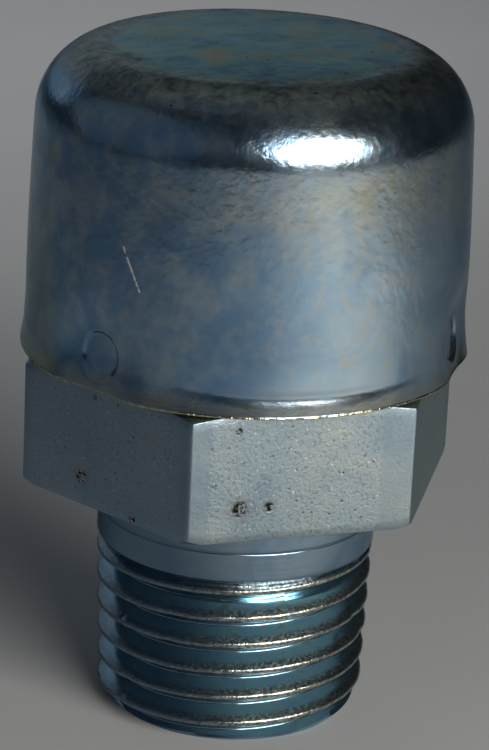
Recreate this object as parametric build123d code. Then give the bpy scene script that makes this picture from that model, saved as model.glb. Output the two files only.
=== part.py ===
"""Vented breather cap with a 1/4-18 NPT thread: a hexagon body with a valve and filter stack under a loose dome.

The origin is the centre of the hexagon's underside, the shoulder that faces the port. +Z is the axis and points
from the thread towards the dome. Two flats of the hexagon face +Y and -Y. Lengths are in millimetres.
"""

import os
from math import cos, degrees, atan, radians, sqrt, tan

from build123d import *

# --- thread, 1/4-18 NPT ---------------------------------------------------------------------------------------
PITCH = 25.4 / 18
HALF_TAPER = 1 / 32  # growth of the radius per millimetre of height
THREAD_DEPTH = 0.94
ROOT_FLAT = 0.10
GROOVE_MOUTH = 0.08  # how far the cutter stands out of the crest, less than its turns would need to touch
THREAD_START = 161.3  # polar angle in degrees at which a crest lies at THREAD_START_Z
THREAD_START_Z = -5.73
THREAD_END_Z = -12.2
THREAD_END_R = 5.9
NECK_R = 6.90
NECK_END_Z = -3.3  # the taper starts here
RUN_OUT_LENGTH = 1.5

# --- hexagon --------------------------------------------------------------------------------------------------
ACROSS_FLATS = 19.05
HEX_HEIGHT = 6.50
HEX_CORNER_R = ACROSS_FLATS / sqrt(3)
TOP_CHAMFER_ANGLE = 17
BOTTOM_CHAMFER_ANGLE = 38
BOTTOM_CHAMFER_R = 10.72

# --- spigot that holds the dome -------------------------------------------------------------------------------
UNDERCUT_R = 9.20
FLANGE_R = 9.72
FLANGE_Z = 9.45
SPIGOT_TOP_Z = 10.30
SLOT_COUNT = 4
SLOT_WIDTH = 1.6
SEAT_LIP_R = 4.60
SEAT_LIP_WIDTH = 0.50
SEAT_Z = SPIGOT_TOP_Z + 0.30

# --- bore -----------------------------------------------------------------------------------------------------
BORE_R = 3.20
VALVE_POCKET_R = 4.10
VALVE_POCKET_Z = 7.00
SCREEN_POCKET_R = 4.00
SCREEN_SEAT_Z = -9.90
CLIP_GROOVE_R = 4.35

# --- dome -----------------------------------------------------------------------------------------------------
SHEET = 0.80
RIM_Z = 6.45
RIM_R = 10.95
CREASE_Z = 7.30
WALL_R_LOW = 10.72
WALL_R_TOP = 10.49
SHOULDER_Z = 17.79
SHOULDER_WIDTH = 3.47
ROOF_EDGE_Z = 21.33
ROOF_CROWN = 0.33
DIMPLE_ANGLES = (-149.0, -34.0, 88.0)  # polar angles in degrees
DIMPLE_Z = 8.15
DIMPLE_R = 1.25
DIMPLE_FLOOR_R = 1.00
DIMPLE_DEPTH = 0.45

# --- screen stack in the lower bore ---------------------------------------------------------------------------
GAUZE_THICKNESS = 0.30
BAFFLE_THICKNESS = 0.60
BAFFLE_HOLE_R = 0.60
BAFFLE_HOLE_COUNT = 6
BAFFLE_HOLE_PITCH_R = 2.40
CLIP_THICKNESS = 0.50
CLIP_INNER_R = 3.30
CLIP_GAP = 1.60
SCREEN_CLEARANCE = 0.05

# --- valve ----------------------------------------------------------------------------------------------------
SEAL_THICKNESS = 0.70
SEAL_INNER_R = 3.80
SEAL_OUTER_R = 5.30
PLATE_THICKNESS = 0.80
PLATE_R = 5.50
PLATE_RIM_INNER_R = 4.50
PLATE_RIM_OUTER_R = 5.00
PLATE_RIM_HEIGHT = 0.40
INLET_HOLE_COUNT = 6
INLET_HOLE_R = 0.50
INLET_HOLE_PITCH_R = 2.30
FLAP_R = 3.30
FLAP_HUB_THICKNESS = 0.70
FLAP_EDGE_THICKNESS = 0.20
FLAP_STEM_R = 0.85
FLAP_BULB_R = 1.30
FLAP_BULB_HEIGHT = 1.10
SPRING_WIRE = 0.50
SPRING_R = 3.90
SPRING_TURNS = 4.5

# --- cage and filter ------------------------------------------------------------------------------------------
CAGE_SHEET = 0.50
CAGE_INNER_R = 5.80
CAGE_ROOF_Z = 18.00
CAGE_FOOT_R = 8.90
WINDOW_COUNT = 3
WINDOW_ANGLE = 84
WINDOW_BOTTOM_Z = 12.60
WINDOW_TOP_Z = 16.80
CAGE_VENT_R = 2.00
FILTER_INNER_R = 6.40
FILTER_OUTER_R = 8.80
FILTER_PLATE_THICKNESS = 0.60
FILTER_PLATE_R = 9.00
WASHER_INNER_R = 4.30
WASHER_OUTER_R = 6.30
WASHER_THICKNESS = 0.30
WASHER_TOP_Z = 20.50
WASHER_CLEARANCE = 0.05
WASHER_WAVES = 3
SECTIONS_PER_WAVE = 8

BEYOND = 1.0  # how far a cutting tool runs past the face that it leaves


def tube(outer_r, inner_r, low_z, high_z):
    """A ring of rectangular section about Z, or a disc when inner_r is 0."""
    height = high_z - low_z
    body = Cylinder(outer_r, height, align=(Align.CENTER, Align.CENTER, Align.MIN))
    if inner_r:
        body -= Cylinder(inner_r, height, align=(Align.CENTER, Align.CENTER, Align.MIN))
    return Pos(0, 0, low_z) * body


def turned(points):
    """A solid of revolution about Z from corner points (radius, height)."""
    outline = make_face(Polyline(*[(r, 0, z) for r, z in points], close=True))
    return revolve(outline, Axis.Z)


def around(shape, count, first_angle=0):
    """Copies of a shape at equal angles about Z."""
    return [Rot(0, 0, first_angle + step * 360 / count) * shape for step in range(count)]


def thread_radius(z):
    """Crest radius of the tapered thread at a height."""
    return NECK_R + (z - NECK_END_Z) * HALF_TAPER


def thread_groove():
    """Tool that cuts the V groove of the tapered thread: one section swept up a conical helix from angle 0."""
    start_z = THREAD_END_Z - BEYOND
    height = NECK_END_Z + PITCH / 2 - start_z
    helix = Helix(PITCH, height, thread_radius(start_z), cone_angle=degrees(atan(HALF_TAPER)))
    root = -THREAD_DEPTH
    mouth = GROOVE_MOUTH
    half_root = ROOT_FLAT / 2
    half_mouth = half_root + (mouth - root) * tan(radians(30))
    section = Plane(origin=helix @ 0, x_dir=(1, 0, 0), z_dir=helix % 0) * make_face(
        Polyline((root, -half_root), (mouth, -half_mouth), (mouth, half_mouth), (root, half_root), close=True)
    )
    groove = sweep(section, path=helix, is_frenet=True)
    return Pos(0, 0, start_z) * groove


def shank():
    """The threaded stem, turned to the thread's start after it is cut. A cone under the neck fills the groove's
    last turn, so that it fades out."""
    end_r = thread_radius(THREAD_END_Z)
    blank = turned(
        [
            (0, THREAD_END_Z),
            (THREAD_END_R, THREAD_END_Z),
            (end_r, THREAD_END_Z + (end_r - THREAD_END_R)),
            (NECK_R, NECK_END_Z),
            (NECK_R, BEYOND),
            (0, BEYOND),
        ]
    )
    fade_z = NECK_END_Z - RUN_OUT_LENGTH
    neck = turned(
        [
            (0, fade_z),
            (thread_radius(fade_z) - THREAD_DEPTH, fade_z),
            (NECK_R, NECK_END_Z),
            (NECK_R, BEYOND),
            (0, BEYOND),
        ]
    )
    turns_to_start = (THREAD_END_Z - BEYOND - THREAD_START_Z) / PITCH - 0.5
    return Rot(0, 0, THREAD_START + 360 * turns_to_start) * (blank - thread_groove()) + neck


def hex_body():
    """Hexagon, spigot, neck and thread turned from one bar, with the stepped bore and the flange's air slots."""
    flat_r = ACROSS_FLATS / 2
    top_drop = (HEX_CORNER_R - flat_r) * tan(radians(TOP_CHAMFER_ANGLE))
    bottom_rise = (HEX_CORNER_R - BOTTOM_CHAMFER_R) * tan(radians(BOTTOM_CHAMFER_ANGLE))
    hexagon = extrude(RegularPolygon(HEX_CORNER_R, 6), HEX_HEIGHT)
    hexagon &= turned(
        [
            (0, 0),
            (BOTTOM_CHAMFER_R, 0),
            (HEX_CORNER_R, bottom_rise),
            (HEX_CORNER_R, HEX_HEIGHT - top_drop),
            (flat_r, HEX_HEIGHT),
            (0, HEX_HEIGHT),
        ]
    )
    spigot = tube(UNDERCUT_R, 0, HEX_HEIGHT - BEYOND, FLANGE_Z) + tube(FLANGE_R, 0, FLANGE_Z, SPIGOT_TOP_Z)
    lip = tube(SEAT_LIP_R + SEAT_LIP_WIDTH / 2, SEAT_LIP_R - SEAT_LIP_WIDTH / 2, SPIGOT_TOP_Z - BEYOND, SEAT_Z)
    body = hexagon + shank() + spigot + lip
    bore = turned(
        [
            (0, THREAD_END_Z - BEYOND),
            (SCREEN_POCKET_R, THREAD_END_Z - BEYOND),
            (SCREEN_POCKET_R, SCREEN_SEAT_Z),
            (BORE_R, SCREEN_SEAT_Z),
            (BORE_R, VALVE_POCKET_Z),
            (VALVE_POCKET_R, VALVE_POCKET_Z),
            (VALVE_POCKET_R, SEAT_Z + BEYOND),
            (0, SEAT_Z + BEYOND),
        ]
    )
    body -= bore
    clip_top_z = SCREEN_SEAT_Z - GAUZE_THICKNESS - BAFFLE_THICKNESS
    body -= tube(CLIP_GROOVE_R, 0, clip_top_z - CLIP_THICKNESS - SCREEN_CLEARANCE, clip_top_z)
    slot = Box(2 * BEYOND, SLOT_WIDTH, SPIGOT_TOP_Z - FLANGE_Z, align=(Align.MIN, Align.CENTER, Align.MIN))
    for cutter in around(Pos(UNDERCUT_R, 0, FLANGE_Z) * slot, SLOT_COUNT, 45):
        body -= cutter
    return body


def dome_outline(inset):
    """Half section of the dome's skin, moved inwards by inset: a flared rim, a wall, an elliptical shoulder
    and a shallow crown."""
    rim = (RIM_R - inset, RIM_Z)
    crease = (WALL_R_LOW - inset, CREASE_Z)
    shoulder = (WALL_R_TOP - inset, SHOULDER_Z)
    roof_edge = (WALL_R_TOP - SHOULDER_WIDTH, ROOF_EDGE_Z - inset)
    crown = (0, ROOF_EDGE_Z + ROOF_CROWN - inset)
    return [
        Line((0, RIM_Z), rim),
        Line(rim, crease),
        Line(crease, shoulder),
        EllipticalCenterArc(
            (roof_edge[0], SHOULDER_Z), shoulder[0] - roof_edge[0], roof_edge[1] - SHOULDER_Z, 0, arc_size=90
        ),
        TangentArc(crown, roof_edge, tangent=(1, 0)),
        Line(crown, (0, RIM_Z)),
    ]


def dome_solid(inset):
    """The solid inside the dome's skin moved inwards by inset."""
    return revolve(Plane.XZ * make_face(Curve() + dome_outline(inset)), Axis.Z)


def dome():
    """Deep-drawn steel dome with three punched dimples that hook under the spigot's flange."""
    shell = dome_solid(0) - dome_solid(SHEET)
    reach = SHEET / 2 + DIMPLE_DEPTH
    boss = Cone(DIMPLE_R, DIMPLE_FLOOR_R, reach, align=(Align.CENTER, Align.CENTER, Align.MIN))
    boss = Pos(WALL_R_LOW - SHEET / 2, 0, DIMPLE_Z) * Rot(0, -90, 0) * boss
    pocket = Cone(DIMPLE_FLOOR_R, DIMPLE_R, DIMPLE_DEPTH, align=(Align.CENTER, Align.CENTER, Align.MIN))
    pocket += Pos(0, 0, DIMPLE_DEPTH) * Cylinder(DIMPLE_R, BEYOND, align=(Align.CENTER, Align.CENTER, Align.MIN))
    pocket = Pos(WALL_R_LOW - DIMPLE_DEPTH, 0, DIMPLE_Z) * Rot(0, 90, 0) * pocket
    for angle in DIMPLE_ANGLES:
        shell += Rot(0, 0, angle) * boss
    for angle in DIMPLE_ANGLES:
        shell -= Rot(0, 0, angle) * pocket
    return shell


def gauze_disc():
    """Woven wire disc that keeps lint out of the bore, as a closed disc of its outer size."""
    return tube(SCREEN_POCKET_R - SCREEN_CLEARANCE, 0, SCREEN_SEAT_Z - GAUZE_THICKNESS, SCREEN_SEAT_Z)


def splash_baffle():
    """Pierced disc under the gauze that stops oil splashing up the bore."""
    top_z = SCREEN_SEAT_Z - GAUZE_THICKNESS
    disc = tube(SCREEN_POCKET_R - SCREEN_CLEARANCE, 0, top_z - BAFFLE_THICKNESS, top_z)
    hole = Pos(BAFFLE_HOLE_PITCH_R, 0, 0) * tube(BAFFLE_HOLE_R, 0, top_z - BAFFLE_THICKNESS, top_z)
    for cutter in around(hole, BAFFLE_HOLE_COUNT):
        disc -= cutter
    return disc


def baffle_clip():
    """Open snap ring in the bore's groove that holds the baffle and the gauze up."""
    top_z = SCREEN_SEAT_Z - GAUZE_THICKNESS - BAFFLE_THICKNESS
    ring = tube(CLIP_GROOVE_R - SCREEN_CLEARANCE, CLIP_INNER_R, top_z - CLIP_THICKNESS, top_z)
    return ring - Pos(CLIP_GROOVE_R, 0, top_z) * Box(2 * CLIP_GROOVE_R, CLIP_GAP, 4 * CLIP_THICKNESS)


def valve_seal():
    """Flat rubber ring under the valve plate that shuts on the seat lip."""
    return tube(SEAL_OUTER_R, SEAL_INNER_R, SEAT_Z, SEAT_Z + SEAL_THICKNESS)


def valve_plate():
    """Relief valve disc, guided by the cage, with inlet holes round the flap's stem and a rim for the spring."""
    low_z = SEAT_Z + SEAL_THICKNESS
    top_z = low_z + PLATE_THICKNESS
    plate = tube(PLATE_R, FLAP_STEM_R, low_z, top_z)
    plate += tube(PLATE_RIM_OUTER_R, PLATE_RIM_INNER_R, low_z, top_z + PLATE_RIM_HEIGHT)
    hole = Pos(INLET_HOLE_PITCH_R, 0, 0) * tube(INLET_HOLE_R, 0, low_z, top_z)
    for cutter in around(hole, INLET_HOLE_COUNT):
        plate -= cutter
    return plate


def inlet_flap():
    """Rubber mushroom valve: a thin cap under the plate's inlet holes, a stem and a bulb that locks above."""
    plate_low_z = SEAT_Z + SEAL_THICKNESS
    plate_top_z = plate_low_z + PLATE_THICKNESS
    return turned(
        [
            (0, plate_low_z - FLAP_HUB_THICKNESS),
            (FLAP_STEM_R, plate_low_z - FLAP_HUB_THICKNESS),
            (FLAP_R, plate_low_z - FLAP_EDGE_THICKNESS),
            (FLAP_R, plate_low_z),
            (FLAP_STEM_R, plate_low_z),
            (FLAP_STEM_R, plate_top_z),
            (FLAP_BULB_R, plate_top_z),
            (FLAP_STEM_R, plate_top_z + FLAP_BULB_HEIGHT),
            (0, plate_top_z + FLAP_BULB_HEIGHT),
        ]
    )


def relief_spring():
    """Light compression spring between the valve plate and the cage roof."""
    low_z = SEAT_Z + SEAL_THICKNESS + PLATE_THICKNESS + SPRING_WIRE / 2
    high_z = CAGE_ROOF_Z - CAGE_SHEET - SPRING_WIRE / 2
    helix = Helix((high_z - low_z) / SPRING_TURNS, high_z - low_z, SPRING_R)
    section = Plane(origin=helix @ 0, z_dir=helix % 0) * Circle(SPRING_WIRE / 2)
    return Pos(0, 0, low_z) * sweep(section, path=helix, is_frenet=True)


def spring_cage():
    """Pressed cage: a foot under the filter, a wall with three windows that guides the valve, and a roof."""
    outer_r = CAGE_INNER_R + CAGE_SHEET
    cage = tube(CAGE_FOOT_R, CAGE_INNER_R, SPIGOT_TOP_Z, SPIGOT_TOP_Z + CAGE_SHEET)
    cage += tube(outer_r, CAGE_INNER_R, SPIGOT_TOP_Z, CAGE_ROOF_Z)
    cage += tube(outer_r, CAGE_VENT_R, CAGE_ROOF_Z - CAGE_SHEET, CAGE_ROOF_Z)
    reach = 2 * outer_r
    half_width = reach * tan(radians(WINDOW_ANGLE / 2))
    wedge = make_face(Polyline((0, 0), (reach, -half_width), (reach, half_width), close=True))
    window = Pos(0, 0, WINDOW_BOTTOM_Z) * extrude(wedge, WINDOW_TOP_Z - WINDOW_BOTTOM_Z)
    for cutter in around(window, WINDOW_COUNT, 30):
        cage -= cutter
    return cage


def filter_ring():
    """Foam filter ring round the cage."""
    return tube(FILTER_OUTER_R, FILTER_INNER_R, SPIGOT_TOP_Z + CAGE_SHEET, CAGE_ROOF_Z)


def filter_plate():
    """Steel disc that closes the top of the filter ring."""
    return tube(FILTER_PLATE_R, 0, CAGE_ROOF_Z, CAGE_ROOF_Z + FILTER_PLATE_THICKNESS)


def wave_washer():
    """Three-wave spring washer between the filter plate and the dome's roof, lofted from flat radial sections."""
    low_z = CAGE_ROOF_Z + FILTER_PLATE_THICKNESS + WASHER_CLEARANCE
    rise = (WASHER_TOP_Z - low_z - WASHER_THICKNESS) / 2
    middle_z = low_z + rise
    steps = SECTIONS_PER_WAVE * WASHER_WAVES
    sections = []
    for step in range(steps):
        angle = 360 * step / steps
        height = middle_z - rise * cos(radians(WASHER_WAVES * angle))
        outline = Polyline(
            (WASHER_INNER_R, 0, height),
            (WASHER_OUTER_R, 0, height),
            (WASHER_OUTER_R, 0, height + WASHER_THICKNESS),
            (WASHER_INNER_R, 0, height + WASHER_THICKNESS),
            close=True,
        )
        sections.append(Rot(0, 0, angle) * make_face(outline))
    half = steps // 2
    first = loft(sections[: half + 1])
    second = loft(sections[half:] + [sections[0]])
    return first + second


PARTS = {
    "hex_body": hex_body,
    "cap": dome,
    "gauze_disc": gauze_disc,
    "splash_baffle": splash_baffle,
    "baffle_clip": baffle_clip,
    "valve_seal": valve_seal,
    "valve_plate": valve_plate,
    "inlet_flap": inlet_flap,
    "relief_spring": relief_spring,
    "spring_cage": spring_cage,
    "filter_ring": filter_ring,
    "filter_plate": filter_plate,
    "wave_washer": wave_washer,
}

os.makedirs("parts", exist_ok=True)
for node, make in PARTS.items():
    shape = make()
    export_step(shape, f"parts/{node}.step")
    print(node, round(shape.volume, 1), "mm3")
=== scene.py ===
# %% [markdown]
# # A vented breather cap in zinc-plated steel
#
# The object screws into the top of a tank or a gearbox and lets it breathe. A hexagon body with a tapered
# pipe thread is turned from bar. A dome, deep drawn from thin sheet, sits loosely over it. Both are zinc
# plated and passivated, which leaves the bluish, slightly stained skin that most of this lesson is about.
#
# The engineering model is the fixed frame. Each visible piece here stands for one of its nodes or gives it a
# finish. Shapes are worked out in millimetres on numpy grids and put into meshes in metres.

import bmesh
import bpy
import numpy as np
from mathutils import Matrix, Vector


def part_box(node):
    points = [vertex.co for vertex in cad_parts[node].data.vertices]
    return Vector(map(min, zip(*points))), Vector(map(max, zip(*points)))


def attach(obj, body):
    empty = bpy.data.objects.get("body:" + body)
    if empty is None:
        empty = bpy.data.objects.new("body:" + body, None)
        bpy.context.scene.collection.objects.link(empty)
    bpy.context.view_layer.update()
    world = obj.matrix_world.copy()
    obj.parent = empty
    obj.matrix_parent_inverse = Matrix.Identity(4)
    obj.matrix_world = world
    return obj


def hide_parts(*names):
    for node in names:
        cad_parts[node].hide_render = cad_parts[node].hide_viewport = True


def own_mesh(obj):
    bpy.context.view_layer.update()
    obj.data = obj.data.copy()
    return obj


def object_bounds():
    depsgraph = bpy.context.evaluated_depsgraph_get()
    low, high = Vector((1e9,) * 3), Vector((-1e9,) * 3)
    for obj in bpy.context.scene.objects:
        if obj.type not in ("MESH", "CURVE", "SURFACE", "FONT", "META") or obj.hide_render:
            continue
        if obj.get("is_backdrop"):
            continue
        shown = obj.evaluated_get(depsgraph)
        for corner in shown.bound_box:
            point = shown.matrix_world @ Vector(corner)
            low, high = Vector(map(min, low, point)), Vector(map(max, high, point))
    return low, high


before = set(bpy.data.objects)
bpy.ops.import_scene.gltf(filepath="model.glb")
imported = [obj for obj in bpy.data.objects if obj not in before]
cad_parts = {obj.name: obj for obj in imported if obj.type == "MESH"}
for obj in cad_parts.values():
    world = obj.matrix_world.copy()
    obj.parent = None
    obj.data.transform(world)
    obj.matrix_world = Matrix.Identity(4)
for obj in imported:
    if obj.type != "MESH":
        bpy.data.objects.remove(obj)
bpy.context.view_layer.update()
MM = 0.001


# %% [markdown]
# ## The key heights and radii
#
# The frame gives the places that other parts depend on: the end of the thread, the rim and the top of the
# dome, the ends of the spring. The remaining sizes are those that a turner or a press-tool maker would read
# from a drawing: pitch, depth of thread, sheet thickness, size of a punched dimple.

# %% Heights from the frame, drawing sizes in millimetres
def node_span(node, axis=2):
    """Lowest and highest coordinate of a node along an axis, in millimetres."""
    low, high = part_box(node)
    return low[axis] / MM, high[axis] / MM


THREAD_END_Z = node_span("hex_body")[0]
SEAT_Z = node_span("hex_body")[1]
RIM_Z, DOME_TOP_Z = node_span("cap")
RIM_R = node_span("cap", 0)[1]
HEX_CORNER_R = node_span("hex_body", 0)[1]
HEX_FLAT_R = HEX_CORNER_R * np.cos(np.pi / 6)

HEX_HEIGHT = 6.50
TOP_CHAMFER = np.tan(np.radians(17))
BOTTOM_CHAMFER = np.tan(np.radians(38))
BOTTOM_CHAMFER_R = 10.72
NECK_R = 6.90
NECK_END_Z = -3.3
PITCH = 25.4 / 18
HALF_TAPER = 1 / 32
THREAD_START = np.radians(161.3)
THREAD_START_Z = -5.73
THREAD_DEPTH = 0.94
CREST_FLAT = 0.226
CREST_ROUNDING = 0.15
ROOT_ROUNDING = 0.07
RUN_OUT_LENGTH = 1.5
THREAD_END_R = 5.9
END_ROUNDING = 0.05
print("across flats", round(2 * HEX_FLAT_R, 2), "dome", round(DOME_TOP_Z - RIM_Z, 2), "high")


# %% [markdown]
# ## Putting a grid of points into a mesh
#
# Nearly every piece here goes round the axis, so its surface is a grid: rows follow the section, columns go
# round. If the rows run up the outside and down the inside, the faces point outwards. Rows that shrink to a
# point at the axis, or that lie on each other, are merged afterwards, so no pole or seam stays open.

# %% Grid helpers
def polar(radius, angle, height):
    """Points (x, y, z) from radius, angle about Z and height, as one array with a last axis of 3."""
    radius, angle, height = np.broadcast_arrays(radius, angle, height)
    return np.stack([radius * np.cos(angle), radius * np.sin(angle), height], axis=-1)


def ring_faces(rows, columns, shift=0):
    """Quads of a grid whose last column joins the first again, shift rows further up, as on a helix."""
    row, column = np.meshgrid(np.arange(rows - 1), np.arange(columns), indexing="ij")
    seam = column == columns - 1
    step = np.where(seam, shift, 0)
    following = (column + 1) % columns
    low = row * columns + column
    low_next = (row + step) * columns + following
    high_next = (row + 1 + step) * columns + following
    high = (row + 1) * columns + column
    quads = np.stack([low, low_next, high_next, high], axis=-1).reshape(-1, 4)
    return quads[(row + 1 + step < rows).reshape(-1)]


def mesh_object(name, points, faces, attributes=None, sharp_degrees=38):
    """A mesh object in metres from points in millimetres. Attributes are numbers per point, which stay with
    the points when doubles merge. Edges sharper than sharp_degrees keep a crisp shade."""
    data = bpy.data.meshes.new(name)
    data.from_pydata(points.reshape(-1, 3) * MM, [], faces.tolist())
    for label, values in (attributes or {}).items():
        layer = data.attributes.new(label, "FLOAT", "POINT")
        layer.data.foreach_set("value", np.ascontiguousarray(values, np.float32).reshape(-1))
    piece = bpy.data.objects.new(name, data)
    bpy.context.scene.collection.objects.link(piece)
    shape = bmesh.new()
    shape.from_mesh(data)
    bmesh.ops.remove_doubles(shape, verts=shape.verts, dist=0.0004 * MM)
    bmesh.ops.dissolve_degenerate(shape, dist=0.0002 * MM, edges=shape.edges)
    shape.to_mesh(data)
    open_edges = sum(edge.is_boundary for edge in shape.edges)
    shape.free()
    data.shade_smooth()
    data.set_sharp_from_angle(angle=np.radians(sharp_degrees))
    print(name, "faces", len(data.polygons), "open edges", open_edges)
    return piece


def soft_ramp(x, width):
    """0 below -width, x above width, and a parabola between: a corner with a rounded foot."""
    return np.where(x < -width, 0, np.where(x > width, x, (x + width) ** 2 / (4 * width)))


def smooth_step(x):
    """0 below 0, 1 above 1 and an S curve between."""
    x = np.clip(x, 0, 1)
    return x * x * (3 - 2 * x)


# %% [markdown]
# ## The columns of the body
#
# The thread, the hexagon and the bore share their columns, so that they merge into one closed turned piece.
# A column falls on each corner of the hexagon, and a few more lie close beside it to round the corner by
# about a tenth of a millimetre, as tumbling and plating leave it.

# %% Column angles
CORNER_RADIUS = 0.12
even = np.radians(np.arange(0, 360, 1.2))
beside = np.radians([-0.38, -0.24, -0.12, 0.12, 0.24, 0.38])
corners = np.radians(np.arange(0, 360, 60))
ANGLES = np.sort(np.mod(np.concatenate([even, (corners[:, None] + beside).ravel()]), 2 * np.pi))
print("columns", len(ANGLES))


def hexagon_radius(angle):
    """Distance from the axis to the hexagon's side: apothem / cos(angle from the flat's normal). Near a
    corner it is the distance to a circle of CORNER_RADIUS that touches both flats."""
    from_flat = np.mod(angle, np.pi / 3) - np.pi / 6
    from_corner = np.pi / 6 - np.abs(from_flat)
    flat = HEX_FLAT_R / np.cos(from_flat)
    centre = HEX_CORNER_R - CORNER_RADIUS / np.cos(np.pi / 6)
    touch = np.arctan2(CORNER_RADIUS * 0.5, centre + CORNER_RADIUS * np.cos(np.pi / 6))
    inside = np.maximum(CORNER_RADIUS**2 - (centre * np.sin(from_corner)) ** 2, 0)
    return np.where(from_corner < touch, centre * np.cos(from_corner) + np.sqrt(inside), flat)


# %% [markdown]
# ## The tapered thread
#
# A thread could be an imported bump texture or a swept profile. Here it is a height field: at each angle and
# height, the distance along the axis to the nearest crest gives the depth of the 60 degree groove. The rows
# of the grid climb with the helix, so each crest and root has its own row, and the edges stay clean. The
# rows stop at the thread's end and at the shoulder, where they collapse onto one ring.

# %% Thread surface
NICKS = 60
LOWEST_NICK = -5
NICK_REACH = 0.3  # a nick touches only the top of the thread
WEAR_ABOVE = 0.60  # how deep the rubbed metal reaches on the side of a crest that faces up
WEAR_BELOW = 0.18
UNMARKED_ENDS = 0.3
rng = np.random.default_rng(18)
nick_angle = rng.uniform(0, 2 * np.pi, NICKS)
nick_turn = rng.integers(0, 7, NICKS)
nick_depth = rng.uniform(0.02, 0.07, NICKS)
nick_width = rng.uniform(0.15, 0.45, NICKS)


def crest_height(angle, turn):
    """Height of the crest of a turn at an angle: one pitch per turn, rising anticlockwise."""
    return THREAD_START_Z + PITCH * ((angle - THREAD_START) / (2 * np.pi) + turn)


def crest_radius(z):
    """Radius over the crests, which tapers by 1 in 16 on the diameter and never passes the neck's."""
    return np.minimum(NECK_R + (z - NECK_END_Z) * HALF_TAPER, NECK_R)


def above_crest(angle, z):
    """Distance along the axis from the nearest crest, positive above it."""
    turns = (z - crest_height(angle, 0)) / PITCH
    return (turns - np.round(turns)) * PITCH


def groove_depth(angle, z):
    """Depth of the V groove: the distance from the crest's edge times tan 60, crest and root rounded."""
    slope = (np.abs(above_crest(angle, z)) - CREST_FLAT / 2) * np.tan(np.pi / 3)
    return soft_ramp(slope, CREST_ROUNDING) - soft_ramp(slope - THREAD_DEPTH, ROOT_ROUNDING)


def thread_radius(angle, z):
    """Radius of the thread, faded out by a cone under the neck and chamfered at 45 degrees at its end."""
    radius = crest_radius(z) - groove_depth(angle, z)
    turns = np.round((z - crest_height(angle, 0)) / PITCH)
    for at, turn, depth, width in zip(nick_angle, nick_turn + LOWEST_NICK, nick_depth, nick_width):
        aside = np.mod(angle - at + np.pi, 2 * np.pi) - np.pi
        near = np.exp(-((aside * NECK_R / width) ** 2)) * (turns == turn)
        radius = radius - near * depth * (groove_depth(angle, z) < NICK_REACH)
    fade_z = NECK_END_Z - RUN_OUT_LENGTH
    root = crest_radius(fade_z) - THREAD_DEPTH
    fade = root + (z - fade_z) / RUN_OUT_LENGTH * (NECK_R - root)
    radius = np.where(z > fade_z, np.maximum(radius, np.minimum(fade, NECK_R)), radius)
    return np.minimum(radius, THREAD_END_R + soft_ramp(z - THREAD_END_Z, END_ROUNDING))


half_pitch = np.array([0, 0.04, 0.075, 0.11, 0.145, 0.18, 0.22, 0.30, 0.39, 0.49, 0.59, 0.63, 0.66, 0.69])
offsets = np.concatenate([half_pitch, [PITCH / 2], PITCH - half_pitch[:0:-1]])
turn_rows = len(offsets)
first_turn = int(np.floor((THREAD_END_Z - crest_height(0, 0)) / PITCH)) - 2
last_turn = int(np.ceil((0 - crest_height(0, 0)) / PITCH)) + 2
climb = (np.arange(first_turn, last_turn)[:, None] * PITCH + offsets).ravel()
helix_z = np.clip(crest_height(ANGLES, 0)[None, :] + climb[:, None], THREAD_END_Z, 0)
helix_r = thread_radius(ANGLES[None, :], helix_z)
thread_points = polar(helix_r, ANGLES[None, :], helix_z)
thread_quads = ring_faces(len(climb), len(ANGLES), shift=turn_rows)
thread_depths = groove_depth(ANGLES[None, :], helix_z)
in_thread = (helix_z < NECK_END_Z - UNMARKED_ENDS) & (helix_z > THREAD_END_Z + UNMARKED_ENDS)
wear_reach = np.where(above_crest(ANGLES[None, :], helix_z) > 0, WEAR_ABOVE, WEAR_BELOW)
thread_crest = np.where(in_thread, 1 - smooth_step(thread_depths / wear_reach), 0)
thread_root = np.where(in_thread, smooth_step(thread_depths / THREAD_DEPTH), 0)
print("thread rows", len(climb), "rows per turn", turn_rows)


# %% [markdown]
# ## The hexagon, the spigot and the bore
#
# The hexagon's section changes with the angle, because its corners are turned off by a cone at the top and a
# smaller one at the bottom. So each row is a radius and a height that are both functions of the angle. The
# rows then run up the spigot that the dome hooks over, across the valve seat and down the stepped bore.

# %% Rings of the hexagon and of the turned inside
ones = np.ones_like(ANGLES)
side = hexagon_radius(ANGLES)
top_edge = HEX_HEIGHT - (side - HEX_FLAT_R) * TOP_CHAMFER
bottom_edge = np.maximum(side - BOTTOM_CHAMFER_R, 0) * BOTTOM_CHAMFER
EASE = 0.05  # how far the rounding reaches from each turned edge
hexagon_rings = [
    (thread_radius(ANGLES, 0 * ones), 0 * ones),
    (NECK_R + 0.6 * ones, 0 * ones),
    (np.minimum(side, BOTTOM_CHAMFER_R) - 0.25, 0 * ones),
    (np.minimum(side, BOTTOM_CHAMFER_R) - EASE, 0 * ones),
    (side - 0.3 * EASE, bottom_edge + 0.3 * EASE),
    (side, bottom_edge + EASE),
    (side, bottom_edge + 0.5),
    (side, 0.5 * (bottom_edge + top_edge)),
    (side, top_edge - 0.5),
    (side, top_edge - EASE),
    (side - 0.3 * EASE, top_edge - 0.2 * EASE),
    (side - EASE, top_edge + EASE * TOP_CHAMFER),
    (0.5 * (side + HEX_FLAT_R) - EASE, 0.5 * (top_edge + HEX_HEIGHT)),
    (HEX_FLAT_R - EASE * ones, HEX_HEIGHT * ones),
]
UNDERCUT_R = 9.20
FLANGE_R = 9.72
FLANGE_Z = 9.45
SPIGOT_TOP_Z = SEAT_Z - 0.30
SLOT_HALF_WIDTH = 0.8
LIP_R = (4.85, 4.80, 4.40, 4.35)  # the valve seat's lip, from its outside in, with small chamfers
LIP_CHAMFER = 0.05
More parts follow.
